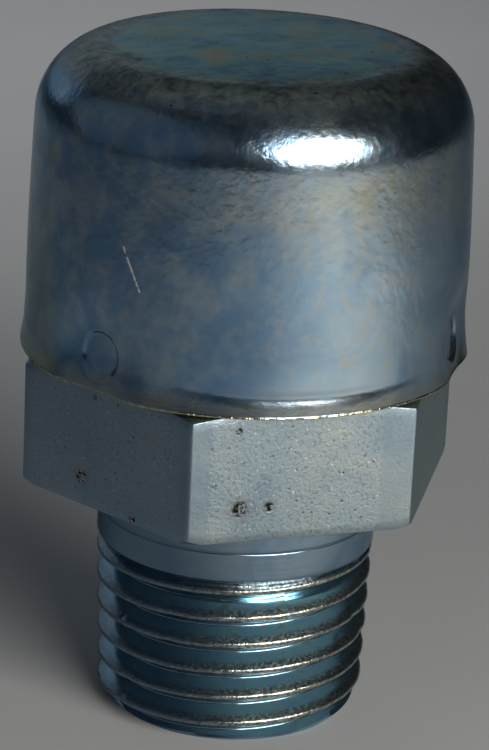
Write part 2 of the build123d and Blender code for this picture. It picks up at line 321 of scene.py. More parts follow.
VALVE_BORE_R = 4.10
VALVE_FLOOR_Z = 7.00
BORE_R = 3.20
SCREEN_BORE_R = 4.00
SCREEN_SEAT_Z = -9.90
CLIP_GROOVE_R = 4.35
BORE_END_CHAMFER = 0.1
slot_aside = np.abs(np.mod(ANGLES, np.pi / 2) - np.pi / 4) * FLANGE_R
flange = np.where(slot_aside < SLOT_HALF_WIDTH, UNDERCUT_R + 0.001, FLANGE_R)
clip_low_z, clip_high_z = node_span("baffle_clip")
clip_low_z = clip_low_z - 0.05
section = [
    (UNDERCUT_R, HEX_HEIGHT), (UNDERCUT_R, FLANGE_Z), (flange, FLANGE_Z), (flange, SPIGOT_TOP_Z),
    (LIP_R[0], SPIGOT_TOP_Z), (LIP_R[0], SEAT_Z - LIP_CHAMFER), (LIP_R[1], SEAT_Z), (LIP_R[2], SEAT_Z),
    (LIP_R[3], SEAT_Z - LIP_CHAMFER), (LIP_R[3], SPIGOT_TOP_Z), (VALVE_BORE_R, SPIGOT_TOP_Z),
    (VALVE_BORE_R, VALVE_FLOOR_Z), (BORE_R, VALVE_FLOOR_Z), (BORE_R, 0), (BORE_R, SCREEN_SEAT_Z),
    (SCREEN_BORE_R, SCREEN_SEAT_Z), (SCREEN_BORE_R, clip_high_z), (CLIP_GROOVE_R, clip_high_z),
    (CLIP_GROOVE_R, clip_low_z), (SCREEN_BORE_R, clip_low_z),
    (SCREEN_BORE_R, THREAD_END_Z + BORE_END_CHAMFER), (SCREEN_BORE_R + BORE_END_CHAMFER, THREAD_END_Z),
]
inside_rings = [(radius * ones, height * ones) for radius, height in section]
rings = hexagon_rings + inside_rings
rings.append((thread_radius(ANGLES, THREAD_END_Z * ones), THREAD_END_Z * ones))
ring_points = np.stack([polar(radius, ANGLES, height) for radius, height in rings])
ring_quads = ring_faces(len(rings), len(ANGLES))

body_points = np.concatenate([thread_points.reshape(-1, 3), ring_points.reshape(-1, 3)])
body_quads = np.concatenate([thread_quads, ring_quads + thread_points.size // 3])
nothing = np.zeros(ring_points.size // 3)
body_marks = {
    "crest": np.concatenate([thread_crest.ravel(), nothing]),
    "root": np.concatenate([thread_root.ravel(), nothing]),
}
hex_body = mesh_object("turned_hex_body", body_points, body_quads, body_marks, sharp_degrees=34)
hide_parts("hex_body")
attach(hex_body, "body")


# %% [markdown]
# ## The deep-drawn dome
#
# Drawing pulls a flat disc over a punch. It leaves a nearly straight wall, an elliptical shoulder, a faintly
# crowned roof and a rim that springs outwards where it was trimmed. Three round punch marks near the rim
# hook the dome under the spigot's flange. The outside and the inside are the same function, one sheet apart.

# %% Dome section
SHEET = 0.80
WALL_R_LOW = 10.72
WALL_R_TOP = 10.49
LEAN_FROM_Z = 9.5
SHOULDER_Z = 17.79
SHOULDER_WIDTH = 3.47
ROOF_CROWN = 0.33
ROOF_EDGE_Z = DOME_TOP_Z - ROOF_CROWN
FLARE = RIM_R - WALL_R_LOW
FLARE_HEIGHT = 2.8
CREASE_Z = 7.42
CREASE_DEPTH = 0.045
CREASE_WIDTH = 0.26
CREASE_LIFT = 0.35  # how far the crease climbs as it nears a dimple
CREASE_CLEAR = 0.25  # radians either side of a dimple without a crease
CREASE_FADE = 0.6
DIMPLE_Z = 8.15
DIMPLE_R = 1.25
DIMPLE_FLOOR_R = 1.00
DIMPLE_DEPTH = 0.60
PULL = 0.42
PULL_REACH = 1.1
dimple_angles = np.radians([-149.0, -34.0, 88.0])


def dome_wall(angle, z):
    """Radius of the dome's wall. It leans in by a few tenths over its height and swings out as a parabola to
    the rim, with a shallow crease above it that is deepest midway between two dimples. Round each dimple the
    sheet is drawn in by PULL, fading as exp(-(distance / PULL_REACH)^2), and its flat floor has rounded
    edges."""
    lean = 2 * smooth_step((z - LEAN_FROM_Z) / (2 * (SHOULDER_Z - LEAN_FROM_Z)))
    radius = WALL_R_LOW - (WALL_R_LOW - WALL_R_TOP) * lean
    radius = radius + FLARE * np.clip(1 - (z - RIM_Z) / FLARE_HEIGHT, 0, 1) ** 2
    between = np.ones_like(radius)
    pulled = np.zeros_like(radius)
    pressed = np.zeros_like(radius)
    for centre in dimple_angles:
        aside = np.mod(angle - centre + np.pi, 2 * np.pi) - np.pi
        away = np.hypot(aside * WALL_R_LOW, z - DIMPLE_Z)
        between = between * smooth_step((np.abs(aside) - CREASE_CLEAR) / CREASE_FADE)
        pulled = pulled + PULL * np.exp(-((np.maximum(away - DIMPLE_R, 0) / PULL_REACH) ** 2))
        pressed = pressed + smooth_step((DIMPLE_R - away) / (DIMPLE_R - DIMPLE_FLOOR_R))
    crease_z = CREASE_Z + CREASE_LIFT * (1 - between)
    radius = radius - CREASE_DEPTH * between * np.exp(-(((z - crease_z) / CREASE_WIDTH) ** 2))
    return radius - pulled - (DIMPLE_DEPTH - PULL) * pressed


ROW_STEP = 0.085  # inside, the rows lie twice as far apart
FIRST_ROW_Z = RIM_Z + 0.06
FINE_ROWS_TO_Z = 9.8
dome_columns = [np.arange(-180, 180, 1.7)]
for centre in np.degrees(dimple_angles):
    dome_columns.append(centre + np.arange(-9, 9.01, 0.45))
dome_angles = np.unique(np.mod(np.round(np.concatenate(dome_columns), 2), 360))
dome_angles = np.radians(dome_angles[np.append(np.diff(dome_angles) > 0.2, True)])
out_low = np.arange(FIRST_ROW_Z, FINE_ROWS_TO_Z, ROW_STEP)
in_low = np.arange(FIRST_ROW_Z, FINE_ROWS_TO_Z, 2 * ROW_STEP)
out_heights = np.concatenate([out_low, np.linspace(FINE_ROWS_TO_Z, SHOULDER_Z, 15)])
in_heights = np.concatenate([in_low, np.linspace(FINE_ROWS_TO_Z, SHOULDER_Z, 8)])


def dome_side(heights, inset):
    """Wall rows at the given heights, moved inwards by inset."""
    z = heights[:, None] * np.ones_like(dome_angles)
    return polar(dome_wall(dome_angles[None, :], z) - inset, dome_angles[None, :], z)


def dome_top(steps, inset):
    """Shoulder and roof rows, moved inwards by inset: a quarter ellipse, then a parabola up to the crown."""
    turn = np.linspace(0, np.pi / 2, steps)[1:, None]
    roof_r = WALL_R_TOP - SHOULDER_WIDTH
    wall = dome_wall(dome_angles, SHOULDER_Z * np.ones_like(dome_angles)) - inset
    shoulder_r = roof_r + (wall - roof_r) * np.cos(turn)
    shoulder_z = SHOULDER_Z + (ROOF_EDGE_Z - inset - SHOULDER_Z) * np.sin(turn)
    shoulder = polar(shoulder_r, dome_angles, shoulder_z)
    share = np.linspace(1, 0, steps)[1:, None]
    roof_z = ROOF_EDGE_Z - inset + ROOF_CROWN * (1 - share**2)
    return np.concatenate([shoulder, polar(roof_r * share, dome_angles, roof_z)])


def rim_rows():
    """The trimmed edge: a flat with rounded corners between the inner and the outer skin."""
    z = RIM_Z * np.ones_like(dome_angles)
    outer = dome_wall(dome_angles, z)
    insets = [SHEET, SHEET - 0.06, 0.5 * SHEET, 0.06, 0.015]
    lifts = [0.03, 0.0, 0.0, 0.0, 0.02]
    return np.stack([polar(outer - inset, dome_angles, z + lift) for inset, lift in zip(insets, lifts)])


inner_skin = np.concatenate([dome_side(in_heights, SHEET), dome_top(12, SHEET)])[::-1]
outer_skin = np.concatenate([dome_side(out_heights, 0), dome_top(26, 0)])
dome_grid = np.concatenate([inner_skin, rim_rows(), outer_skin])
dome_quads = ring_faces(len(dome_grid), len(dome_angles))
trimmed_edge = np.zeros(dome_grid.shape[:2])
trimmed_edge[len(inner_skin) : len(inner_skin) + len(rim_rows()) + 1] = 1
dome = mesh_object("drawn_dome", dome_grid, dome_quads, {"trimmed": trimmed_edge}, sharp_degrees=60)
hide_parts("cap")
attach(dome, "dome")


# %% [markdown]
# ## The pieces inside
#
# Most of them are simple turnings and pressings whose engineering shape is already right, so they keep it
# and only get a finish. Three are worth a shape of their own: the woven gauze, which shows from below, the
# relief spring, which has to shorten as the valve lifts, and the foam filter.

# %% Tubes along a path, for wire
def wire_tubes(paths, radius, sides=8):
    """Closed tubes of round section along several paths of equal length, shape (wires, steps, 3). The
    section is spanned by the sideways and the upward direction at each step, and the two ends shrink to a
    point."""
    along = np.gradient(paths, axis=1)
    along /= np.linalg.norm(along, axis=2, keepdims=True)
    sideways = np.cross(along, [0.0, 0.0, 1.0])
    sideways /= np.linalg.norm(sideways, axis=2, keepdims=True)
    upward = np.cross(sideways, along)
    turn = np.linspace(0, 2 * np.pi, sides, endpoint=False)
    spoke = upward[:, :, None] * np.cos(turn)[:, None] + sideways[:, :, None] * np.sin(turn)[:, None]
    skin = paths[:, :, None] + radius * spoke
    start = np.repeat(paths[:, :1, None], sides, axis=2)
    end = np.repeat(paths[:, -1:, None], sides, axis=2)
    skin = np.concatenate([start, skin, end], axis=1)
    wires, steps = skin.shape[:2]
    one = ring_faces(steps, sides)
    quads = (one[None] + (np.arange(wires) * steps * sides)[:, None, None]).reshape(-1, 4)
    return skin.reshape(-1, 3), quads[:, ::-1]


# %% Woven gauze
gauze_low_z, gauze_high_z = node_span("gauze_disc")
gauze_r = node_span("gauze_disc", 0)[1]
GAUZE_WIRE_R = 0.07
GAUZE_PITCH = 0.5
GAUZE_CRIMP = 0.075
lanes = np.arange(-7, 8) * GAUZE_PITCH
reach = np.sqrt(gauze_r**2 - lanes**2) - GAUZE_WIRE_R
walk = np.linspace(-1, 1, 61)[None, :] * reach[:, None]
parity = np.where(np.arange(len(lanes)) % 2, 1, -1)[:, None]
lift = parity * GAUZE_CRIMP * np.cos(np.pi * walk / GAUZE_PITCH)
gauze_z = 0.5 * (gauze_low_z + gauze_high_z)
across = np.repeat(lanes[:, None], walk.shape[1], axis=1)
warp = np.stack([walk, across, gauze_z + lift], axis=-1)
weft = np.stack([across, walk, gauze_z - lift], axis=-1)
gauze_points, gauze_quads = wire_tubes(np.concatenate([warp, weft]), GAUZE_WIRE_R, sides=6)
gauze = mesh_object("woven_gauze", gauze_points, gauze_quads)
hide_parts("gauze_disc")
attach(gauze, "body")

# %% Relief spring with closed ends
spring_low_z, spring_high_z = node_span("relief_spring")
SPRING_WIRE_R = 0.25
SPRING_R = 3.90
SPRING_TURNS = 6.0
share = np.linspace(0, 1, 420)
spring_angle = 2 * np.pi * SPRING_TURNS * share
low = spring_low_z + SPRING_WIRE_R
high = spring_high_z - SPRING_WIRE_R
closed_turn = 1 / SPRING_TURNS
climb_share = (share - 0.75 * closed_turn) / (1 - 1.5 * closed_turn)
climbing = 0.35 * smooth_step(climb_share) + 0.65 * np.clip(climb_share, 0, 1)  # eased into the closed ends
coil = polar(SPRING_R * np.ones_like(share), spring_angle, low + (high - low) * climbing)
spring_points, spring_quads = wire_tubes(coil[None], SPRING_WIRE_R, sides=10)
spring = mesh_object("coil_spring", spring_points, spring_quads)
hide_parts("relief_spring")
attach(spring, "body")
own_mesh(spring)

# %% Foam filter ring
foam_low_z, foam_high_z = node_span("filter_ring")
foam_r = node_span("filter_ring", 0)[1]
FOAM_INNER_R = 6.40
PORE_DEPTH = 0.12
foam_angles = np.linspace(0, 2 * np.pi, 200, endpoint=False)
corner = 0.25
foam_outline = np.array(
    [
        (FOAM_INNER_R, foam_high_z - corner),
        *[(FOAM_INNER_R, z) for z in np.linspace(foam_high_z - 0.6, foam_low_z + 0.6, 18)],
        (FOAM_INNER_R, foam_low_z + corner),
        (FOAM_INNER_R + corner, foam_low_z),
        *[(r, foam_low_z) for r in np.linspace(FOAM_INNER_R + 0.5, foam_r - 0.5, 6)],
        (foam_r - corner, foam_low_z),
        (foam_r, foam_low_z + corner),
        *[(foam_r, z) for z in np.linspace(foam_low_z + 0.6, foam_high_z - 0.6, 18)],
        (foam_r, foam_high_z - corner),
        (foam_r - corner, foam_high_z),
        *[(r, foam_high_z) for r in np.linspace(foam_r - 0.5, FOAM_INNER_R + 0.5, 6)],
        (FOAM_INNER_R + corner, foam_high_z),
        (FOAM_INNER_R, foam_high_z - corner),
    ]
)
middle = foam_outline.mean(axis=0)
pore = rng.uniform(0, PORE_DEPTH, (len(foam_outline) - 1, len(foam_angles)))
pore = np.concatenate([pore, pore[:1]])
towards = middle - foam_outline
towards /= np.linalg.norm(towards, axis=1, keepdims=True)
foam_grid = foam_outline[:, None, :] + towards[:, None, :] * pore[..., None]
foam_points = polar(foam_grid[..., 0], foam_angles[None, :], foam_grid[..., 1])
foam_quads = ring_faces(len(foam_outline), len(foam_angles))
foam = mesh_object("foam_filter_ring", foam_points, foam_quads, sharp_degrees=180)
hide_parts("filter_ring")
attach(foam, "body")


# %% [markdown]
# ## Finishes: one function for every node
#
# A finish here is a Principled shader whose colour, roughness and bump come from procedural patterns in
# object coordinates. One small function adds every node and links it. Another turns an sRGB hex colour into
# the linear values that the renderer works in. Coordinates are scaled to millimetres first, so each
# pattern's scale is one over a real size.

# %% Colours, kinds of node and the function that adds one
def linear(hex_colour):
    """Linear RGBA from an sRGB hex colour such as 5f7488."""
    values = np.array([int(hex_colour[i : i + 2], 16) for i in (0, 2, 4)]) / 255
    values = np.where(values <= 0.04045, values / 12.92, ((values + 0.055) / 1.055) ** 2.4)
    return (*values.tolist(), 1.0)


TIMES = ("ShaderNodeMath", {"operation": "MULTIPLY"})
TIMES_THEN_PLUS = ("ShaderNodeMath", {"operation": "MULTIPLY_ADD"})
PLUS = ("ShaderNodeMath", {"operation": "ADD"})
HELD_PLUS = ("ShaderNodeMath", {"operation": "ADD", "use_clamp": True})
HELD_TIMES = ("ShaderNodeMath", {"operation": "MULTIPLY", "use_clamp": True})
MINUS = ("ShaderNodeMath", {"operation": "SUBTRACT"})
LARGER = ("ShaderNodeMath", {"operation": "MAXIMUM"})
UNSIGNED = ("ShaderNodeMath", {"operation": "ABSOLUTE"})
IS_BELOW = ("ShaderNodeMath", {"operation": "LESS_THAN"})
VECTOR_MINUS = ("ShaderNodeVectorMath", {"operation": "SUBTRACT"})
VECTOR_TIMES = ("ShaderNodeVectorMath", {"operation": "MULTIPLY"})
VECTOR_SCALE = ("ShaderNodeVectorMath", {"operation": "SCALE"})
DOT_PRODUCT = ("ShaderNodeVectorMath", {"operation": "DOT_PRODUCT"})
LENGTH = ("ShaderNodeVectorMath", {"operation": "LENGTH"})
DISTANCE = ("ShaderNodeVectorMath", {"operation": "DISTANCE"})
S_CURVE = ("ShaderNodeMapRange", {"interpolation_type": "SMOOTHSTEP"})
MIX = ("ShaderNodeMix", {"data_type": "RGBA", "clamp_factor": True})
NORMAL_MIX = ("ShaderNodeMix", {"data_type": "VECTOR"})
RAMP = ("ShaderNodeValToRGB", {})
PLACE = ("ShaderNodeMapping", {})
AXES = ("ShaderNodeSeparateXYZ", {})
BUMP = ("ShaderNodeBump", {})


def add(tree, kind, *inputs, stops=(), **named):
    """Adds a node and returns it. kind is its type with its settings. inputs go to the enabled sockets in
    order, and named ones by name, with spaces as underscores. stops are those of a colour ramp. A node or a
    socket is linked, a hex colour is turned linear, and a number is set."""
    node = tree.nodes.new(kind[0])
    for key, value in kind[1].items():
        setattr(node, key, value)
    if stops:
        elements = node.color_ramp.elements
        while len(elements) < len(stops):
            elements.new(0.5)
        for element, (position, colour) in zip(elements, stops):
            element.position = position
            element.color = linear(colour)
    sockets = [socket for socket in node.inputs if socket.enabled]
    fed = list(zip(sockets, inputs))
    fed += [(node.inputs[key.replace("_", " ")], value) for key, value in named.items()]
    for socket, value in fed:
        if isinstance(value, bpy.types.Node):
            value = next(output for output in value.outputs if output.enabled)
        if isinstance(value, bpy.types.NodeSocket):
            tree.links.new(value, socket)
        else:
            socket.default_value = linear(value) if isinstance(value, str) else value
    return node


# %% Blank material, blotches and specks
def blank_material(name):
    """A material with a tree of its own, and its object coordinates in millimetres."""
    material = bpy.data.materials.new(name)
    material.use_nodes = True
    tree = material.node_tree
    tree.nodes.clear()
    place = add(tree, ("ShaderNodeTexCoord", {})).outputs["Object"]
    return material, tree, add(tree, PLACE, place, Scale=(1 / MM, 1 / MM, 1 / MM))


def surface(tree, **named):
    """The Principled shader that ends a material, with its sockets by name."""
    add(tree, ("ShaderNodeOutputMaterial", {}), add(tree, ("ShaderNodeBsdfPrincipled", {}), **named))


def bump(tree, height, depth_mm, strength=1.0, **under):
    """A bump whose height of 1 stands for depth_mm. Normal is the bump under it."""
    return add(tree, BUMP, Height=height, Distance=depth_mm * MM, Strength=strength, **under)


def mark(tree, name):
    """A number that was stored on the points of the mesh."""
    return add(tree, ("ShaderNodeAttribute", {"attribute_name": name})).outputs["Fac"]


def places(tree, where):
    """Height, sideways coordinate and distance from the axis, in millimetres."""
    axes = add(tree, AXES, where)
    return axes.outputs["Z"], axes.outputs["X"], add(tree, LENGTH, add(tree, VECTOR_TIMES, where, (1, 1, 0)))


def blotches(tree, where, size_mm, detail=4.0, roughness=0.55, distortion=0.0, stretch=(1, 1, 1), shift=0.0):
    """Noise between 0 and 1 whose blobs are about size_mm across, drawn out by stretch along each axis."""
    scale = tuple(1 / (size_mm * factor) for factor in stretch)
    local = add(tree, PLACE, where, Scale=scale, Location=(shift, shift, shift))
    settings = {"Detail": detail, "Roughness": roughness, "Distortion": distortion}
    return add(tree, ("ShaderNodeTexNoise", {}), local, Scale=1.0, **settings)


def specks(tree, where, cell_mm, low, high, share, shift=0.0):
    """Round spots, 1 inside and 0 outside, of radius low..high cells, on the given share of the cells."""
    local = add(tree, PLACE, where, Scale=(1 / cell_mm,) * 3, Location=(shift,) * 3)
    cells = add(tree, ("ShaderNodeTexVoronoi", {}), local, Scale=1.0, Randomness=1.0)
    pick = add(tree, ("ShaderNodeSeparateColor", {}), cells.outputs["Color"])
    return add(tree, TIMES, add(tree, S_CURVE, cells, low, high, 1.0, 0.0), add(tree, IS_BELOW, pick, share))


# %% [markdown]
# ## Blue zinc plate on the dome: the film on its wall
#
# Clear-blue passivated zinc over deep-drawn steel is a metal with a dull blue body colour. The film is only
# a fraction of a micron thick, and its colour changes with its thickness. A single colour would look
# painted, so noises of several sizes mix blue, cream, olive and slate. Some of these tints are painted light
# and shade: the blue patches held to the left side and the slate on the far right are painted shade, and the
# cream under the shoulder on the front and right is partly a thin film and partly a painted highlight.

# %% Film on the wall
WALL_DARK = "7592ad"
WALL_MID = "8fa9bd"
WALL_LIGHT = "a0b1bd"
GREY_FLECK = "a8a898"
OLIVE_PATCH = "8a8568"
CREAM_FILM_AND_PAINTED_SHEEN = "b1b2a3"
RIGHT_SIDE_PAINTED_SHADE = "5f7893"
BLUE_FILM_AND_LEFT_SHADE = "4f7fac"
RUBBED_RIM = "a09a84"
STRAW_EDGE = "918d5c"
CREAM_FROM_Z = 12.5
CREAM_TO_Z = 17.0


def wall_film(tree, where, height, across):
    """Colour of the film on the wall, with painted shade on the left and the far right and a partly painted
    highlight below the shoulder. Heights and widths between which a tint fades are in millimetres.
    """
    clouds = blotches(tree, where, 5.0, detail=6, distortion=0.6)
    film = add(tree, RAMP, clouds, stops=[(0.30, WALL_DARK), (0.50, WALL_MID), (0.70, WALL_LIGHT)])
    flecks = blotches(tree, where, 0.6, detail=6, roughness=0.70, shift=9.1)
    film = add(tree, MIX, add(tree, S_CURVE, flecks, 0.48, 0.66, 0.0, 0.45), film, GREY_FLECK)
    olive = add(tree, S_CURVE, blotches(tree, where, 2.6, detail=4, shift=4.4), 0.56, 0.68, 0.0, 0.45)
    olive = add(tree, TIMES, olive, add(tree, S_CURVE, height, 12.0, CREAM_TO_Z))
    film = add(tree, MIX, olive, film, OLIVE_PATCH)
    # Cream under the shoulder, fullest on the front and right: partly a thin film, partly a painted highlight
    # below the shoulder's bright patch.
    cream_film_and_sheen = add(tree, S_CURVE, blotches(tree, where, 1.6, detail=5, shift=5.5), 0.30, 0.70, 0.25, 0.75)
    cream_film_and_sheen = add(tree, TIMES, cream_film_and_sheen, add(tree, S_CURVE, height, CREAM_FROM_Z, CREAM_TO_Z))
    cream_film_and_sheen = add(tree, TIMES, cream_film_and_sheen, add(tree, S_CURVE, height, 17.2, 19.0, 1.0, 0.2))
    cream_film_and_sheen = add(tree, TIMES, cream_film_and_sheen, add(tree, S_CURVE, across, -9.0, -2.0, 0.25, 1.0))
    film = add(tree, MIX, cream_film_and_sheen, film, CREAM_FILM_AND_PAINTED_SHEEN)
    # Painted shade: a slate blue darkens the far right side of the wall.
    film = add(tree, MIX, add(tree, S_CURVE, across, 6.5, 10.5, 0.0, 0.45), film, RIGHT_SIDE_PAINTED_SHADE)
    # Thick blue film in patches, held to the left side: partly film colour, partly painted shade.
    patches = blotches(tree, where, 1.8, detail=6, roughness=0.6, shift=3.9)
    patches = add(tree, S_CURVE, patches, 0.35, 0.62, 0.15, 1.0)
    blue_film_and_left_shade = add(tree, TIMES, add(tree, S_CURVE, across, 0.5, -5.5, 0.0, 0.65), patches)
    film = add(tree, MIX, blue_film_and_left_shade, film, BLUE_FILM_AND_LEFT_SHADE)
    film = add(tree, MIX, add(tree, S_CURVE, height, 7.5, 6.9, 0.0, 0.45), film, RUBBED_RIM)
    return add(tree, MIX, add(tree, S_CURVE, across, -10.2, -10.65, 0.0, 0.35), film, STRAW_EDGE)


# %% [markdown]
# ## The film on the roof
#
# The die polished the roof, where the film is a thick teal with streaks, and scuffed the ring round it to a
# brown grey. The edge between the two is a circle whose radius is shifted by noise.

# %% Film on the roof
ROOF_STREAKS = [(0.36, "5f758c"), (0.46, "688f95"), (0.56, "7f9b90"), (0.66, "9c9078")]
SCUFFED_SKIN = [(0.38, "4e4b47"), (0.50, "7a7a72"), (0.62, "93958c")]
RAGGED_BY = 5.0  # millimetres between the inmost and the outmost reach of the teal


def roof_film(tree, where, radius):
    """Colour of the roof and the noise that scuffs the ring round it."""
    drawn_out = {"distortion": 0.5, "stretch": (1.5, 1, 1)}
    streaks = blotches(tree, where, 2.0, detail=9, roughness=0.66, shift=2.7, **drawn_out)
    scuffs = blotches(tree, where, 0.7, detail=7, roughness=0.7, distortion=0.5, shift=6.2)
    ragged = blotches(tree, where, 2.2, detail=6, roughness=0.65, shift=1.2)
    edge = add(tree, TIMES_THEN_PLUS, ragged, -RAGGED_BY, radius)
    teal = add(tree, RAMP, streaks, stops=ROOF_STREAKS)
    ring = add(tree, RAMP, scuffs, stops=SCUFFED_SKIN)
    return add(tree, MIX, add(tree, S_CURVE, edge, 3.9, 4.7, 0.0, 0.85), teal, ring), scuffs


# %% [markdown]
# ## Marks, gloss and orange peel of the dome
#
# A scratch has cut through to bare zinc, small pits darken the roof, and the rim's trimmed edge is rubbed to
# a straw gold. An orange-peel ripple over shallow waves breaks the edge of each reflection and fades out at
# the rim.

# %% Dome finish
SCRATCH = ((-8.26, -6.72, 13.84), (-7.67, -7.48, 11.91))
BARE_ZINC = "f2f4f4"
PIT_BROWN = "2b2722"
RUBBED_GOLD = "d8c88c"
GRAZING_TINT = "ced9e0"
PEEL_DEPTH = 0.019
WAVE_DEPTH = 0.020
IRONED_FROM_Z = 7.6
IRONED_TO_Z = 9.6


def segment_distance(tree, where, start, end):
    """Distance in millimetres from a line segment: |p - start - t (end - start)|, with t held to 0..1."""
    along = np.subtract(end, start)
    shifted = add(tree, VECTOR_MINUS, where, start)
    t = add(tree, HELD_TIMES, add(tree, DOT_PRODUCT, shifted, tuple(along / (along @ along))), 1.0)
    return add(tree, DISTANCE, shifted, add(tree, VECTOR_SCALE, tuple(along), t))


def zinc_on_drawn_sheet():
    """Blue zinc plate on deep-drawn steel sheet: glossy, with a film that varies and a rippled skin."""
    material, tree, where = blank_material("zinc_plate_on_drawn_sheet")
    height, across, radius = places(tree, where)
    roof, scuffs = roof_film(tree, where, radius)
    on_roof = add(tree, S_CURVE, add(tree, PLUS, height, add(tree, TIMES, scuffs, 1.2)), 20.2, 21.6)
    colour = add(tree, MIX, on_roof, wall_film(tree, where, height, across), roof)
    spots = specks(tree, where, 0.8, 0.05, 0.13, 0.28)
    spots = add(tree, TIMES, spots, add(tree, S_CURVE, height, 18.5, 20.8, 0.0, 0.85))
    colour = add(tree, MIX, spots, colour, PIT_BROWN)
    scratch = add(tree, S_CURVE, segment_distance(tree, where, *SCRATCH), 0.025, 0.08, 1.0, 0.0)
    skips = add(tree, S_CURVE, blotches(tree, where, 0.25, detail=2, shift=8.0), 0.42, 0.5)
    scratch = add(tree, TIMES, scratch, skips)
    colour = add(tree, MIX, scratch, colour, BARE_ZINC)
    beads = add(tree, S_CURVE, blotches(tree, where, 0.22, detail=2, shift=3.3), 0.40, 0.62, 0.35, 1.0)
    trimmed = mark(tree, "trimmed")
    beads = add(tree, TIMES, trimmed, beads)
    colour = add(tree, MIX, beads, colour, RUBBED_GOLD)
    gloss = add(tree, S_CURVE, blotches(tree, where, 2.0, detail=6, shift=1.7), 0.3, 0.75, 0.17, 0.27)
    gloss = add(tree, PLUS, gloss, add(tree, TIMES, on_roof, 0.14))
    gloss = add(tree, HELD_PLUS, gloss, add(tree, TIMES, scratch, 0.3))
    wave = blotches(tree, where, 1.4, detail=2, shift=7.3)
    wave = add(tree, TIMES, wave, add(tree, S_CURVE, height, IRONED_FROM_Z, IRONED_TO_Z, 0.2, 1.0))
    peel = blotches(tree, where, 0.42, detail=2, roughness=0.5)
    peel = add(tree, TIMES, peel, add(tree, S_CURVE, height, IRONED_FROM_Z, IRONED_TO_Z, 0.3, 1.0))
    fine = blotches(tree, where, 0.20, detail=3, roughness=0.7)
    relief = bump(tree, wave, WAVE_DEPTH)
    relief = bump(tree, peel, PEEL_DEPTH, Normal=relief)
    relief = bump(tree, fine, 0.0065, Normal=relief)
    dips = add(tree, MINUS, 1.0, spots)
    relief = bump(tree, dips, 0.02, strength=0.6, Normal=relief)
    relief = bump(tree, beads, 0.03, Normal=relief)
    surface(tree, Base_Color=colour, Metallic=1.0, Roughness=gloss, Specular_Tint=GRAZING_TINT, Normal=relief)
    return material


dome.data.materials.append(zinc_on_drawn_sheet())
print("dome finish nodes", len(dome.data.materials[0].node_tree.nodes))


# %% [markdown]
# ## Zinc plate on the turned body: the hexagon
#
# The same plate on free-cutting bar looks different because the skin under it does. The hexagon's flats are
# the bar's own blasted skin, which sparkles like fine sand, with a smoother band beside each corner where
# the bar ran through the guides. Dark dents and painted glints on small facets are scattered over a fine
# grain. The flats to the left and the right of the front flat are darkened with painted shade.

# %% Skin of the hexagon
BAR_DARK = "93a8b6"
BAR_MID = "a4b6c0"
BAR_LIGHT = "b4c0c2"
GRIT_SHADE = "5d6a72"
DENT_SHADE = "49535b"
PAINTED_FACET_GLINT = "eef3f3"
GUIDE_BAND = "8399aa"
LEFT_FLAT_PAINTED_SHADE = "56708a"
RIGHT_FLAT_PAINTED_SHADE = "7f8a85"
CORNER_X = 5.55  # the two vertical edges that bound the front flat


def hexagon_skin(tree, where, across, clouds, by_corner):
    """Colour of the hexagon, with its grit and its dents as numbers for the bump. The flats on either side of
    the front flat are darkened with painted shade, and small near-white specks are painted glints.
    """
    base = add(tree, RAMP, clouds, stops=[(0.32, BAR_DARK), (0.5, BAR_MID), (0.68, BAR_LIGHT)])
    grit = blotches(tree, where, 0.16, detail=3, roughness=0.7)
    dents = specks(tree, where, 0.42, 0.08, 0.22, 0.40, shift=1.9)
    # Painted glints: near-white specks stand for facets of the blasted skin that catch the light.
    painted_glints = specks(tree, where, 0.26, 0.10, 0.26, 0.30, shift=3.7)
    blasted = add(tree, MIX, add(tree, S_CURVE, grit, 0.46, 0.34, 0.0, 0.45), base, GRIT_SHADE)
    blasted = add(tree, MIX, add(tree, TIMES, dents, 0.60), blasted, DENT_SHADE)
    blasted = add(tree, MIX, add(tree, TIMES, painted_glints, 0.65), blasted, PAINTED_FACET_GLINT)
    skin = add(tree, MIX, add(tree, TIMES, by_corner, 0.60), blasted, base)
    skin = add(tree, MIX, add(tree, TIMES, by_corner, 0.35), skin, GUIDE_BAND)
    # Painted shade: the flats left and right of the front flat are tinted darker.
    left_flat_shade = add(tree, S_CURVE, across, 0.1 - CORNER_X, -0.1 - CORNER_X, 0.0, 0.60)
    right_flat_shade = add(tree, S_CURVE, across, CORNER_X - 0.1, CORNER_X + 0.1, 0.0, 0.55)
    return add(tree, MIX, right_flat_shade, add(tree, MIX, left_flat_shade, skin, LEFT_FLAT_PAINTED_SHADE), RIGHT_FLAT_PAINTED_SHADE), grit, dents


# %% [markdown]
# ## The neck and the thread
#
# Both were cut by a tool and keep fine rings, and one deeper line shows where the neck tool stopped.
# Handling has rubbed the blue film off the crests, so they shine like silver with some straw, and the flanks
# hold the thickest film. The crest and root marks were worked out with the thread and stay on its points.

# %% Skin of the neck and the thread
NECK_TONES = [(0.34, "839fb6"), (0.5, "9ab1c3"), (0.68, "abbac4")]
FLANK_TONES = [(0.35, "a2c4d8"), (0.6, "aecdd4"), (0.75, "9fb0ac")]
RUBBED_TONES = [(0.36, "68747a"), (0.50, "9fa39b"), (0.62, "dcdcd0")]
TOOL_LINE_DEPTH = 1.9  # below the hexagon, where the neck tool stopped
TOOL_LINE_SHADE = "4c5860"
LEFT_PAINTED_SHADE = "4f6a82"


